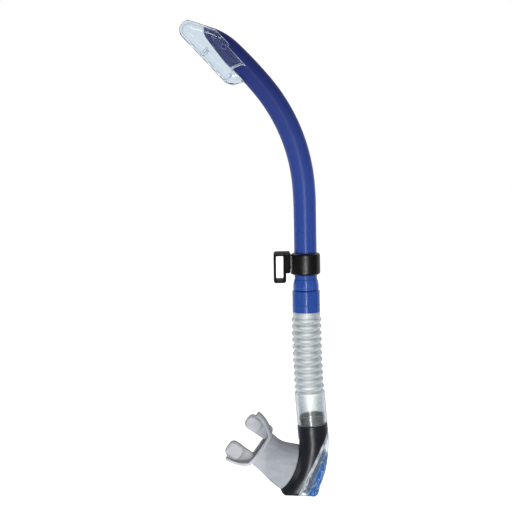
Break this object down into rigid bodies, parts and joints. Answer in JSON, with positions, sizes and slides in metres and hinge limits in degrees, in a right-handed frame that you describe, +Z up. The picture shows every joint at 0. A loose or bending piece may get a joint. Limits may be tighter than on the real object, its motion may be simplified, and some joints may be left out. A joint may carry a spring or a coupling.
{
  "type": "snorkel tube",
  "caption": "Bent snorkel tube with a splash guard over its mouth, a swivelling strap keeper, a ribbed flexible hose, an elbow housing with a purge valve, and a soft mouthpiece.",
  "frame": {"origin": "centre of the strap slot in the keeper's loop", "axes": "+Z up along the barrel's straight run, -X towards the diver's mouth, Y across; Y = 0 is the middle plane of the tube"},
  "size_m": [0.1332, 0.0294, 0.4544],
  "materials": {
    "barrel": "semi-gloss blue",
    "connector": "gloss blue",
    "guard": "clear",
    "keeper": "satin black",
    "liner": "matt",
    "rivet": "satin black",
    "washer": "plain",
    "hose": "clear silicone",
    "housing": "satin charcoal",
    "mouthpiece": "frosted silicone",
    "seat": "pale translucent",
    "diaphragm": "soft silicone",
    "cover": "clear",
    "trim": "gloss blue"
  },
  "bodies": {
    "barrel": {"barrel": "barrel", "hose_connector": "connector", "splash_guard": "guard"},
    "keeper": {"keeper_liner": "liner"},
    "ring": {"keeper_ring": "keeper", "swivel_rivet": "rivet", "rivet_washer": "washer"},
    "loop": {"strap_loop": "keeper"},
    "hose": {"hose": "hose"},
    "mouth_unit": {"housing": "housing", "mouthpiece": "mouthpiece", "purge_seat": "seat", "purge_cover": "cover", "cover_trim": "trim"},
    "diaphragm": {"purge_diaphragm": "diaphragm"}
  },
  "joints": [
    {"name": "keeper_slide", "type": "slide", "parent": "barrel", "child": "keeper", "axis": [0, 0, 1], "range_m": [-0.0025, 0.042]},
    {"name": "keeper_turn", "type": "hinge", "parent": "keeper", "child": "ring", "pos_m": [0.0247, 0, 0.0018], "axis": [0, 0, 1], "continuous": true},
    {"name": "loop_swivel", "type": "hinge", "parent": "ring", "child": "loop", "pos_m": [0, 0, 0], "axis": [1, 0, 0], "continuous": true},
    {"name": "hose_turn", "type": "hinge", "parent": "barrel", "child": "hose", "pos_m": [0.0247, 0, -0.034], "axis": [0, 0, 1], "continuous": true},
    {"name": "hose_bend", "type": "hinge", "parent": "hose", "child": "mouth_unit", "pos_m": [0.0252, 0, -0.082], "axis": [0, 1, 0], "range_deg": [-35, 30], "stiffness_Nm_per_rad": 1.2, "deforming": ["hose"]},
    {"name": "purge_lift", "type": "slide", "parent": "mouth_unit", "child": "diaphragm", "axis": [0.8965, 0, -0.4431], "range_m": [0, 0.0012], "stiffness_N_per_m": 20, "springref_m": -0.0006}
  ]
}
